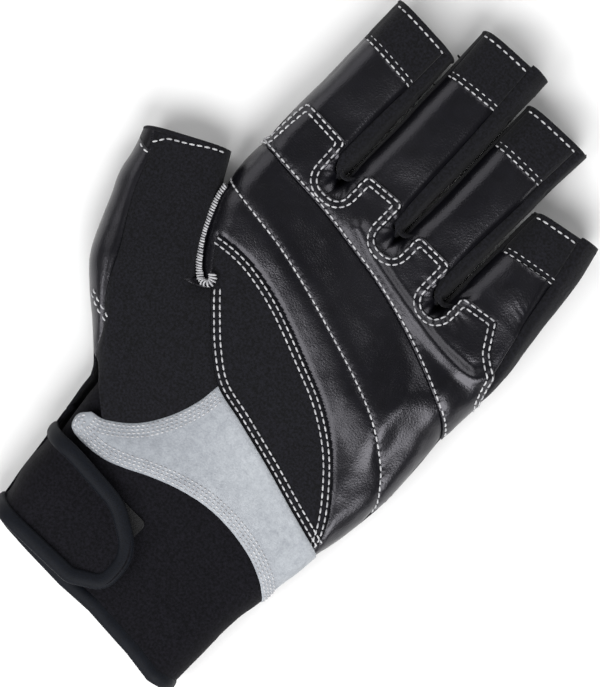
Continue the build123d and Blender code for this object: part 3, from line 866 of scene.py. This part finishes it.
HEM_GAP = -0.5  # the hem's middle, short of the opening's edge
STITCH_LONG, STITCH_THICK = 1.75, 0.56
RINGS = np.array([-1.0, -0.82, -0.35, 0.35, 0.82, 1.0])
RING_SIZES = np.array([0.35, 0.8, 1.0, 1.0, 0.8, 0.35])


def stitches_mesh(skin, line, side=1, lift=0.0, relief=None, pitch=PITCH, long=STITCH_LONG,
                  thick=STITCH_THICK):
    """A row of stitches: each one six rings of six along its own stretch of the line, thin and sunk at both
    ends, so that it comes up out of one needle hole and goes down into the next."""
    run = lengths(line)
    count = max(1, int(run[-1] / pitch))
    middle = (np.arange(count) + 0.5) * run[-1] / count
    q = at(line, run, (middle[:, None] + RINGS * long / 2).ravel())
    base = lift(q) if callable(lift) else np.full(len(q), float(lift))
    if relief is not None:
        base = base + relief(q)
    arch = 0.34 * thick - 0.75 * thick * np.tile(np.abs(RINGS) ** 3, count)
    placed = skin.place(q, side, base + arch)
    return tubes(*(v.reshape(count, len(RINGS), 3) for v in placed), thick / 2 * RING_SIZES)


def stitches(name, rows, body):
    """A seam's rows of stitches as one piece; each row is a dict of what stitches_mesh takes."""
    parts = [stitches_mesh(**r) for r in rows]
    return hold(piece(name, *joined(parts), "thread"), body)


# ---------------------------------------------------------------- the bodies and spans given for sheets between two bodies
def across_finger(name):
    """A finger's two bodies and a span of ten millimetres beyond its hinge, for its sheets between them."""
    y = HINGES[name + "_flex"]["pos_m"][1] / MM
    return "hand", name, (0, y - 0.5, PALM_TOP), (0, y + 9.5, PALM_TOP)


THUMB_BEND = ("hand", "thumb", (*(CROTCH - 1.0 * ALONG_THUMB), PALM_TOP),
              (*(CROTCH + 12 * ALONG_THUMB), PALM_TOP))
WRIST_BEND = ("hand", "cuff", (0, WRIST_Y + 0.5, PALM_TOP), (0, WRIST_Y - 10, PALM_TOP))
TAB_BEND = ("cuff", "tab", (0, 0, SIDE_SEAM), (0, 0, SIDE_SEAM + 6.5))
RAISED = 0.75  # leather laid over leather
PAST_SEAM = 5.5  # how far past the silhouette a sheet is drawn, to be cut at the side seam


# ---------------------------------------------------------------- palm
def palm():
    """The leather strips and the stretch insert, each cut between its two seams."""
    upper = chain(panel_edge, line_2[::-1])
    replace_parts(sheet("upper_palm_panel", root_skin, upper, "black_leather", "hand", lift=RAISED,
                      relief=knuckle_relief, thick=1.1), "palm_upper_panel")
    middle = chain(line_2, line_1[::-1])
    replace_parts(sheet("middle_palm_strip", palm_skin, middle, "black_leather", "hand", relief=palm_relief),
                "palm_middle_strip")
    side = beside(LEFT_SIDE[LEFT_SIDE[:, 1] < 20], -PAST_SEAM)
    heel = chain(line_1, seam_end[::-1], INSERT_SEAM[::-1], insert_end[::-1], [(-33.5, -8.6)], side[::-1])
    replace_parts(sheet("heel_palm_strip", palm_skin, heel, "black_leather", "hand", relief=palm_relief),
                "palm_heel_strip")
    insert = chain(INSERT_SEAM, heel_seam[::-1], insert_end)
    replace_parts(sheet("stretch_insert", palm_skin, insert, "stretch_fabric", "hand", lift=-0.25,
                      relief=palm_relief), "palm_stretch_insert")


def palm_stitches():
    """The rows of stitches over the palm's seams."""
    for name, rows, node in (
            ("palm_line_topstitch", ((line_1, 0.0), (beside(line_2, 0.7), RAISED)), "palm_line_stitches"),
            ("insert_topstitch", ((line, 0.0) for line in insert_rows), "insert_stitches"),
            ("heel_topstitch", ((line, 0.0) for line in heel_rows), "heel_stitches")):
        rows = [dict(skin=palm_skin, line=trimmed(palm_skin, line), lift=lift, relief=palm_relief)
                for line, lift in rows]
        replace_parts(stitches(name, rows, "hand"), node)
    rows = [dict(skin=root_skin, line=trimmed(root_skin, line), lift=RAISED, relief=knuckle_relief)
            for line in tab_rows]
    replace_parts(stitches("knuckle_tab_topstitch", rows, "hand"), "tab_stitches")


WRAP_PITCH, WRAP_HIGH, WRAP_THREAD = 0.85, 1.2, 0.3
CROTCH_EDGE = [(-51.2, 18.5), (-50.4, 14.5), (-48.4, 9.7), (-45.8, 3.6), (-43, -0.4), (-39.7, -4.3),
               (-36.5, -6.7), (-34.0, -7.5), (-32.4, -6.6), (-32.4, -4.9), (-34, -3.5)]


def crotch_edge():
    """The overlocked edge of the palm leather at the thumb: slanting thread wraps over a soft roll.

    Each wrap is half an ellipse across the edge, its half width growing from 0.8 mm at the top to
    1.25 mm near the crotch, where the edge turns back in a hook.
    """
    line = through(CROTCH_EDGE, 0.4)
    core = strip_mesh(palm_skin, line, oval(1.9, 2.2), lift=1.0)
    hold(piece("crotch_edge_roll", *core, "black_leather"), "hand")
    run = lengths(line)
    count = int(run[-1] / WRAP_PITCH)
    where = (np.arange(count) + 0.5) * WRAP_PITCH
    spots = at(line, run, where)
    way, left = normals(spots)
    half = np.interp(where, [0, run[-1] * 0.6, run[-1] - 6, run[-1]], [0.8, 1.15, 1.25, 0.9])
    half *= RNG.uniform(0.85, 1.15, count)
    slant = 0.35 + RNG.uniform(-0.15, 0.15, count)
    across = np.linspace(-1, 1, 7)
    wraps = spots[:, None] + (half[:, None] * across)[..., None] * (left + slant[:, None] * way)[:, None]
    arch = WRAP_HIGH * np.sqrt(1 - (0.97 * across) ** 2) + 0.9
    placed = palm_skin.place(wraps.reshape(-1, 2), 1, np.tile(arch, count))
    mesh = tubes(*(v.reshape(count, len(across), 3) for v in placed), WRAP_THREAD)
    hold(piece("crotch_overlock", *mesh, "thread"), "hand")


# ---------------------------------------------------------------- fingers
OUTLINE_STEP = 1.5
BAND_ROWS = (0.0, 1.7)  # the two rows of stitches over a tip band's seam
OVERLAP = 6.0  # how far a side sheet is drawn past the silhouette
SEAM_XS = np.linspace(-60, 60, 200)


class Finger:
    """One finger's sheets, cut from its own lines in FINGERS."""

    def __init__(self, number, name):
        self.number, self.name = number, name
        self.left, self.right, self.edge, self.seam, self.tip, self.gusset_up = FINGERS[name]
        self.skin, self.body = finger_skins[name], across_finger(name)
        self.crotch_left = CROTCHES[number - 1] if number > 0 else None
        self.crotch_right = CROTCHES[number] if number < 3 else None
        self.foot = 24.0 if number == 3 else 33.0
        self.beyond = -OVERLAP if number == 0 else 0.0
        self.bend_y = HINGES[name + "_flex"]["pos_m"][1] / MM
        self.seam_left, self.seam_right = (y_at(self.seam, p[-1][0]) for p in (self.left, self.edge))
        self.tip_left, self.tip_y = y_at(self.tip, self.left[-1][0]), y_at(self.tip, self.edge[-2][0])
        self.seam_corner, self.tip_corner = (x_at(self.edge, y) for y in (self.seam_right, self.tip_y))
        self.side = self.left_side()
        self.band_seam = row(self.seam, np.linspace(self.side[-1][0], self.seam_corner, 12))

    def left_side(self):
        """The leather's left side up to the band seam, tucked under its neighbour before the crotch."""
        line = column(self.left, np.arange(self.foot, self.seam_left, OUTLINE_STEP), self.beyond)
        if self.crotch_left:
            x, y = self.crotch_left
            line[:, 0] = np.where(line[:, 1] < y + 0.8, x - TUCK * root_step(line[:, 1], y), line[:, 0])
        return line

    def grooves(self, q):
        """Channels along the leather's edge and the band's seam, and a crown across the finger: one less
        the square of the place across, which goes from -1 to 1."""
        x, y = q.T
        z = sink(q, column(self.edge, np.linspace(self.foot, self.tip_y + 5, 60)), 0.8, 1.3)
        z += ripple(q, 0.16, 0.03)
        for gap in BAND_ROWS:
            z += stitched(q, row(self.seam, SEAM_XS, gap), 0.25)
        z += sink(q, row(self.seam, SEAM_XS, 0.85), 0.25, 0.8)
        side, far_side = x_at(self.left, y), x_at(self.edge, y)
        crown = 1 - (2 * (x - side) / (far_side - side) - 1) ** 2
        return z + 1.5 * np.clip(crown, 0, 1) * smooth(y, self.bend_y, self.bend_y + 14)

    def leather_relief(self, q):
        """The palm's relief at the root, turning into the finger's own; the little finger is puffed, with
        fine creases: a sine across it under a bell."""
        x, y = q.T
        w = smooth(y, 46, 54)
        z = knuckle_relief(q) * (1 - w) + self.grooves(q) * w - 0.25 * (1 - w)
        if self.number == 3:
            creases = np.sin((y + 0.25 * x) * 2 * math.pi / 2.1)
            z += 0.06 * creases * bell(np.hypot(x - 43, (y - 55) * 1.2), 4.5)
            z += 1.2 * bell(np.hypot((x - 35) * 1.2, (y - 52) * 0.45), 8)
        return z

    def leather(self):
        """The front, from under the palm's upper panel to the band seam."""
        if self.crotch_right:
            x, y = self.crotch_right
            down = column(self.edge, np.arange(self.seam_right - 1, y + 4.5, -OUTLINE_STEP))
            arc = through([tuple(down[-1]), (x - 3.6, y + 1.2), (x, y), (x + 3.8, y - 0.2)], 0.8)
            fall = np.arange(y - 0.6, self.foot, -0.6)
            tucked = np.stack([x + TUCK * root_step(fall, y), fall], axis=1)
            outline = chain(self.side, self.band_seam, down, arc, tucked, [(x, self.foot)])
        else:
            down = column(self.edge, np.arange(self.seam_right - 1, 31, -OUTLINE_STEP))
            outline = chain(self.side, self.band_seam, down, [(52, 27), (52, self.foot)])
        made = sheet(self.name + "_leather", FingerSkin(self.skin), outline, "black_leather", self.body,
                     relief=self.leather_relief)
        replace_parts(made, self.name + "_palm_leather")

    def band(self):
        """The band of the fingertip, from its seam to the opening."""
        side = column(self.left, np.arange(self.seam_left, self.tip_left, OUTLINE_STEP), self.beyond)
        side[0] = self.band_seam[0]
        end = row(self.tip, np.linspace(side[-1][0], self.tip_corner, 12))
        down = column(self.edge, np.arange(self.tip_y - 1, self.seam_right, -OUTLINE_STEP))
        outline = chain(side, end, down, self.band_seam[::-1])
        made = sheet(self.name + "_band", self.skin, outline, "stretch_fabric", self.name, lift=0.05,
                     relief=self.grooves)
        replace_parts(made, self.name + "_tip_band")

    def gusset_relief(self, q):
        """The finger's own relief, and a soft fold along the gusset."""
        fold = column(self.edge, np.linspace(self.foot, self.tip_y + 5, 60), 2.6)
        return self.grooves(q) - sink(q, fold, 0.35, 1.6)

    def gusset(self):
        """The right gusset, over the finger's right side, its foot drawn in to the crotch."""
        foot = self.crotch_right[1] - 1.0 if self.crotch_right else 24.0
        inner = column(self.edge, np.arange(foot, self.tip_y, OUTLINE_STEP))
        if self.crotch_right:
            x, y = self.crotch_right
            inner[:5, 0] = np.interp(inner[:5, 1], [y, y + 1.5, y + 5], [x - 0.3, x - 3.6, inner[5, 0]])
        end = row(self.tip, np.linspace(inner[-1, 0], inner[-1, 0] + 13, 12), self.gusset_up)
        outer = column(self.right, np.arange(self.tip_y, foot, -OUTLINE_STEP), OVERLAP)
        outline = chain(inner, end[end[:, 0] < outer[0, 0]], outer)
        made = sheet(self.name + "_gusset", self.skin, outline, "stretch_fabric", self.body,
                     relief=self.gusset_relief)
        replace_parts(made, self.name + "_right_gusset")

    def inner_gusset(self):
        """The left gusset, down the finger's left side."""
        ys = np.arange(self.crotch_left[1] + 1.5, self.tip_left, OUTLINE_STEP)
        outline = chain(column(self.left, ys, -OVERLAP), column(self.left, ys)[::-1])
        made = sheet(self.name + "_inner_gusset", self.skin, outline, "stretch_fabric", self.body)
        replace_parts(made, self.name + "_left_gusset")

    def back(self):
        """The back of the finger, from under the hand's back to the opening."""
        ys = np.arange(34.0 if self.number == 3 else 40.0, self.tip_y, OUTLINE_STEP)
        ends = x_at(self.left, self.tip_y) - OVERLAP, x_at(self.right, self.tip_y) + OVERLAP
        outline = chain(column(self.left, ys, -OVERLAP), row(self.tip, np.linspace(*ends, 30)),
                        column(self.right, ys, OVERLAP)[::-1])
        made = sheet(self.name + "_back_sheet", FingerSkin(self.skin), outline, "stretch_fabric", self.body,
                     side=-1, step=0.8, relief=lambda q: ripple(q, 0.15))
        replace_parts(made, self.name + "_back")

    def seams(self):
        """The band's two rows of stitches and the hem's one, and the rolled hem itself."""
        start = self.left[-1][0] + 1.0
        rows = []
        for gap, lift in zip(BAND_ROWS, (0.0, -0.12)):
            line = row(self.seam, np.linspace(start, self.seam_corner + 0.2, 40), gap)
            rows.append(dict(skin=self.skin, line=line, lift=lift, relief=self.grooves, thick=0.5 + lift))
        line = row(self.tip, np.linspace(start, self.tip_corner + 0.2, 40), -1.9)
        rows.append(dict(skin=self.skin, line=line, relief=self.grooves))
        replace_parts(stitches(self.name + "_topstitch", rows, self.name), self.name + "_stitches")
        xs = np.linspace(self.left[-1][0] - 7, self.right[-1][0] + 7, 120)
        hem(self.name + "_hem", self.skin, row(self.tip, xs, HEM_GAP), self.name)


def fingers():
    """All four fingers, each one piece after another."""
    for number, name in enumerate(FINGERS):
        finger = Finger(number, name)
        finger.leather()
        finger.band()
        finger.gusset()
        if number > 0:
            finger.inner_gusset()
        finger.back()
        finger.seams()


WEB_RINGS, WEB_AROUND = 17, 25


def crotches():
    """Webs between the fingers: half a round tube standing in the gap, flared into the fingers each side."""
    names = ("index_middle", "middle_ring", "ring_little")
    u, turn = np.meshgrid(np.linspace(-1, 1, WEB_RINGS), np.linspace(-1.35, 1.35, WEB_AROUND), indexing="ij")
    i = np.arange(WEB_RINGS - 1)[:, None] * WEB_AROUND + np.arange(WEB_AROUND - 1)[None, :]
    faces = np.stack([i, i + 1, i + WEB_AROUND + 1, i + WEB_AROUND], axis=-1).reshape(-1, 4)
    for name, (x, y) in zip(names, CROTCHES):
        points = np.stack([x + 2.8 * u, y + 0.6 + 1.8 * np.cos(turn) + 2.4 * u**2,
                           SIDE_SEAM + 7.0 * np.sin(turn)], axis=-1).reshape(-1, 3)
        made = hold(thicken(piece(name + "_web", points, faces, "stretch_fabric"), 0.8), "hand")
        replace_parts(made, name + "_crotch")


# ---------------------------------------------------------------- thumb
THUMB_TIP_LINE = np.array([from_crotch(s, 40.8) for s in np.linspace(-6, 40, 60)])


def thumb_relief(q):
    """The leather's edge and the heel's seam sink in a gently uneven sheet."""
    z = ripple(q, 0.25, 0.03)
    z += sink(q, side_leather_edge, 0.6, 1.1) + sink(q, heel_seam, 0.55, 1.0)
    for line in heel_rows:
        z += stitched(q, line)
    return z


def thumb():
    """The thumb's palm sheet, side leather and back, with its stitches and hem."""
    free = through([(-26.5, -59.4), (-34, -53.5), (-41, -48.6), (-46, -49)], 1.0)
    inner = beside(THUMB_INNER[:-5], -5.2)
    inner = inner[(inner - CROTCH) @ ALONG_THUMB < 40.5]
    edge = side_leather_edge[side_leather_edge[:, 1] < 10]
    outline = chain(heel_seam[heel_seam[:, 0] < -8.4][::-1], [(-35.0, -8.5)], inner[3:], THUMB_TIP_LINE,
                    edge, free[::-1][1:], patch_inner[::-1][3:])
    made = sheet("thumb_palm_sheet", thumb_skin, outline, "stretch_fabric", THUMB_BEND, relief=thumb_relief)
    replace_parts(made, "thumb_base_panel", "thumb_palm_panel")
    outer = beside(THUMB_OUTER, -5.4)
    outer = outer[(outer[:, 1] > -50) & ((outer - CROTCH) @ ALONG_THUMB < 40.5)]
    side_tip = THUMB_TIP_LINE[(THUMB_TIP_LINE - CROTCH) @ -ACROSS_THUMB > 26]
    outline = chain(edge[::-1], side_tip, outer)
    made = sheet("thumb_side_sheet", thumb_skin, outline, "black_leather", THUMB_BEND, relief=thumb_relief)
    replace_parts(made, "thumb_side_leather", "thumb_base_side_leather")
    outline = chain([from_crotch(0.0, -8), CROTCH], inner, THUMB_TIP_LINE,
                    [from_crotch(40, 41), from_crotch(46, 38), from_crotch(46, -8)])
    made = sheet("thumb_back_sheet", thumb_skin, outline, "stretch_fabric", THUMB_BEND, side=-1, step=0.8,
                 relief=lambda q: ripple(q, 0.2))
    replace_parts(made, "thumb_back")
    long_row = through([(-76.6, 11.4), (-74.6, 14.0), (-73, 16), (-68, 19), (-62, 23), (-57.6, 25.4)], 0.6)
    short_row = through([(-80.2, 8.6), (-77, 8.2), (-74.5, 8.5)], 0.6)
    tack = [through([(-58, -33.6 - g), (-53, -35 - g), (-47.2, -36.4 - g)], 0.6) for g in BAND_ROWS]
    rows = [dict(skin=thumb_skin, line=line, relief=thumb_relief) for line in [long_row, short_row] + tack]
    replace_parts(stitches("thumb_topstitch", rows[:2], "thumb"), "thumb_stitches")
    stitches("thumb_base_tack", rows[2:], "hand")
    hem("thumb_hem", thumb_skin, THUMB_TIP_LINE + HEM_GAP * ALONG_THUMB, "thumb")


# ---------------------------------------------------------------- wrist and cuff
BORDER_ROWS = (0.9, 2.0, 3.1, 4.2)  # the cover stitch's rows, in from the patch's border


def wrist_relief(q):
    """The cuff is pressed down under the closure tab, along smooth steps."""
    return ripple(q, 0.25, 0.03) - 2.6 * (1 - smooth(q[:, 0], -28, -14)) * smooth(-q[:, 1], 66, 72)


def patch_relief(q):
    """The patch's borders sink where they are stitched down."""
    edges = sink(q, patch_lower, 0.35, 0.9) + sink(q, patch_inner, 0.35, 0.9) + sink(q, heel_seam, 0.5, 0.9)
    return ripple(q, 0.25) + edges


def wrist():
    """The suede patch with its border stitches, the cuff's palm side, and the gusset behind the slit."""
    outline = chain(heel_seam[heel_seam[:, 0] > -8.6], seam_end[1:], patch_lower[::-1], patch_inner[::-1])
    made = sheet("wrist_patch_sheet", wrist_skin, outline, "grey_suede", WRIST_BEND, lift=0.55,
                 relief=patch_relief, step=0.45, thick=0.9)
    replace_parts(made, "wrist_patch")
    rows = []
    for border in (patch_lower, patch_inner):
        for k, gap in enumerate(BORDER_ROWS):
            line = trimmed(wrist_skin, evenly(beside(border[2:-2], gap), 0.5))[k % 2:]
            line = line[inside(line, outline)]
            line = line[nearest(line, border)[0] > gap - 0.2]
            rows.append(dict(skin=wrist_skin, line=line, lift=0.5, relief=patch_relief, pitch=1.5, long=0.95,
                             thick=0.5))
    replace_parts(stitches("patch_cover_stitch", rows, WRIST_BEND), "patch_stitches")
    end = CUFF_END + 1.6
    corners = np.array([(-27.5, -66), (-22, -64), (-10, -60), (5, -54), (25, -51.5), (40, -55), (60, -62),
                        (60, end - 2), (47, end + 1), (40, end), (30, end + 1), (0, end + 2.2),
                        (-27.5, end + 2.6)])
    made = sheet("cuff_palm_sheet", wrist_skin, evenly(closed(corners), 1.5), "neoprene", WRIST_BEND,
                 relief=wrist_relief, step=0.7, thick=1.4)
    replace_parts(made, "wrist_gore", "cuff_palm_panel")
    corners = np.array([(-50, -46), (-24, -46), (-22, -70), (-26, -76), (-50, -76)])
    sheet("slit_gusset", wrist_skin, evenly(closed(corners), 1.0), "neoprene", WRIST_BEND, lift=-3.0,
          step=0.8, thick=0.8)


def cuff_end_line(x):
    """The cuff's end edge, a little wavy as it lies."""
    return y_at([(-60, -101.5), (-28, -101.5), (0, -102.3), (12, -101.6), (30, -102.6), (40, -104),
                 (47, -103), (60, -103)], x)


def backs():
    """The back of the hand, and the back of the cuff, which runs a little way under it."""
    side = beside(LEFT_SIDE[LEFT_SIDE[:, 1] < 46], -PAST_SEAM)[::-1]
    outline = chain([(-60, -66), from_crotch(46, -8), from_crotch(0, -8), CROTCH], side,
                    [(-60, 46), (-26.7, 46), (-1.8, 46), (22, 40), (60, 38), (60, 38), (60, -66)])
    bodies = ("hand", "cuff", WRIST_BEND[2], WRIST_BEND[3])
    made = sheet("hand_back_sheet", whole_skin, outline, "stretch_fabric", bodies, side=-1, step=0.9,
                 relief=lambda q: ripple(q, 0.25))
    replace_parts(made, "back_panel", "index_side_leather", "little_side_leather")
    xs = np.linspace(-60, 60, 80)
    outline = chain([(60, -64), (-60, -64)], np.stack([xs, cuff_end_line(xs) + 1.0], axis=1))
    made = sheet("cuff_back_sheet", wrist_skin, outline, "neoprene", WRIST_BEND, side=-1, step=0.8, thick=1.4,
                 relief=lambda q: ripple(q, 0.25) - 0.3 * smooth(q[:, 1], -67, -65.5))
    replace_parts(made, "cuff_back_panel")


def cuff_binding():
    """The tape over the cuff's end edge: an oval carried along it, front and back."""
    parts = []
    for side in (1, -1):
        xs = np.linspace(-27.5 if side > 0 else -60, 60, 240)
        line = trimmed(wrist_skin, np.stack([xs, cuff_end_line(xs)], axis=1))
        lift = (lambda q: wrist_relief(q) + 0.1) if side > 0 else 0.1
        parts.append(strip_mesh(wrist_skin, line, oval(4.8, 2.6, 16, 0.7), side=side, lift=lift))
    made = hold(piece("cuff_binding_tape", *joined(parts), "binding_tape"), "cuff")
    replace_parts(made, "cuff_binding")


TAB_EDGE = rounded([(-44, -71.2), (-25, -70.4), (-4, -71.8), (11.4, -81), (11.8, -95.5), (1, -102.2),
                    (-25.2, -102.9), (-33, -102.6), (-42, -101)], [30, 20, 14, 8, 8, 16, 4], step=0.7)


def tab_lift(q):
    """The tab stands clear of the cuff: no lift at the fold, all of it ten millimetres in."""
    inset = wrist_skin.inset(q)[0]
    return 0.1 + (TAB_TOP - high("cuff_palm_panel") + 0.2) * smooth(inset, -2, 11)


def tab_dish(q):
    """The tab is pressed down beside its tape and fuller in its middle, along smooth steps."""
    far = nearest(q, TAB_EDGE)[0]
    return (-0.9 * smooth(far, 2.5, 5.5) + 0.75 * smooth(far, 6, 14) + 0.35 * smooth(q[:, 0], -5, 8)
            + ripple(q, 0.2))


def tab():
    """The closure tab and the tape round its edge."""
    made = sheet("closure_tab_sheet", wrist_skin, beside(TAB_EDGE, -1.0), "neoprene", TAB_BEND, lift=tab_lift,
                 relief=tab_dish, thick=1.7)
    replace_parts(made, "closure_tab")
    line = trimmed(wrist_skin, beside(TAB_EDGE, -2.4))
    tape = strip_mesh(wrist_skin, line, oval(5.0, 2.5, 16, 0.8), lift=lambda q: tab_lift(q) + 0.35)
    made = hold(piece("tab_binding_tape", *tape, "binding_tape"), TAB_BEND)
    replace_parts(made, "tab_binding")


# ---------------------------------------------------------------- the whole glove
palm()
palm_stitches()
crotch_edge()
fingers()
crotches()
thumb()
wrist()
backs()
cuff_binding()
tab()
for pad in ("loop_pad", "hook_pad"):
    for pad_slot in frame["nodes"][pad].material_slots:
        pad_slot.material = FINISHES["hook_and_loop"]

# ---------------------------------------------------------------- floor, light and camera
SHOT_HEIGHT = 0.213
LENS, SENSOR = 135.0, 36.0
LAMPS = {  # place, diameter, watts
    "key": ((0.66, -0.50, 0.86), 0.95, 15.0), "fill": ((-0.95, 0.2, 0.6), 1.1, 4.0),
    "back": ((0.1, 1.05, 0.6), 0.9, 5.0), "low": ((-0.3, -0.9, 0.85), 0.85, 9.0)}
ROOM_LIGHT = 0.11


def studio():
    """White paper under the glove, four round soft boxes turned to its middle, and a dim white room."""
    bpy.ops.mesh.primitive_plane_add(size=6, location=(0, 0, -0.0006))
    floor = bpy.context.object
    floor.name = "floor"
    floor.data.materials.append(material("white_paper", paper))
    for name, (place, size, power) in LAMPS.items():
        lamp = bpy.data.lights.new(name, "AREA")
        lamp.shape = "DISK"
        lamp.size = size
        lamp.energy = power
        made = bpy.data.objects.new(name, lamp)
        made.location = place
        made.rotation_euler = (-made.location).to_track_quat("-Z", "Y").to_euler()
        bpy.context.scene.collection.objects.link(made)
    world = bpy.data.worlds.new("studio")
    world.use_nodes = True
    room = world.node_tree.nodes["Background"].inputs
    room["Color"].default_value = (1, 1, 1, 1)
    room["Strength"].default_value = ROOM_LIGHT
    bpy.context.scene.world = world
    bpy.context.scene.view_settings.view_transform = "Standard"


def camera():
    """A long lens straight above the glove, turned an eighth of a turn."""
    lens = bpy.data.cameras.new("camera")
    lens.lens = LENS
    lens.sensor_width = SENSOR
    made = bpy.data.objects.new("camera", lens)
    made.location = (0, 0, SHOT_HEIGHT * LENS / SENSOR + 0.5 * PALM_TOP * MM)
    made.rotation_euler = (0, 0, math.radians(45))
    bpy.context.scene.collection.objects.link(made)
    bpy.context.scene.camera = made


studio()
camera()
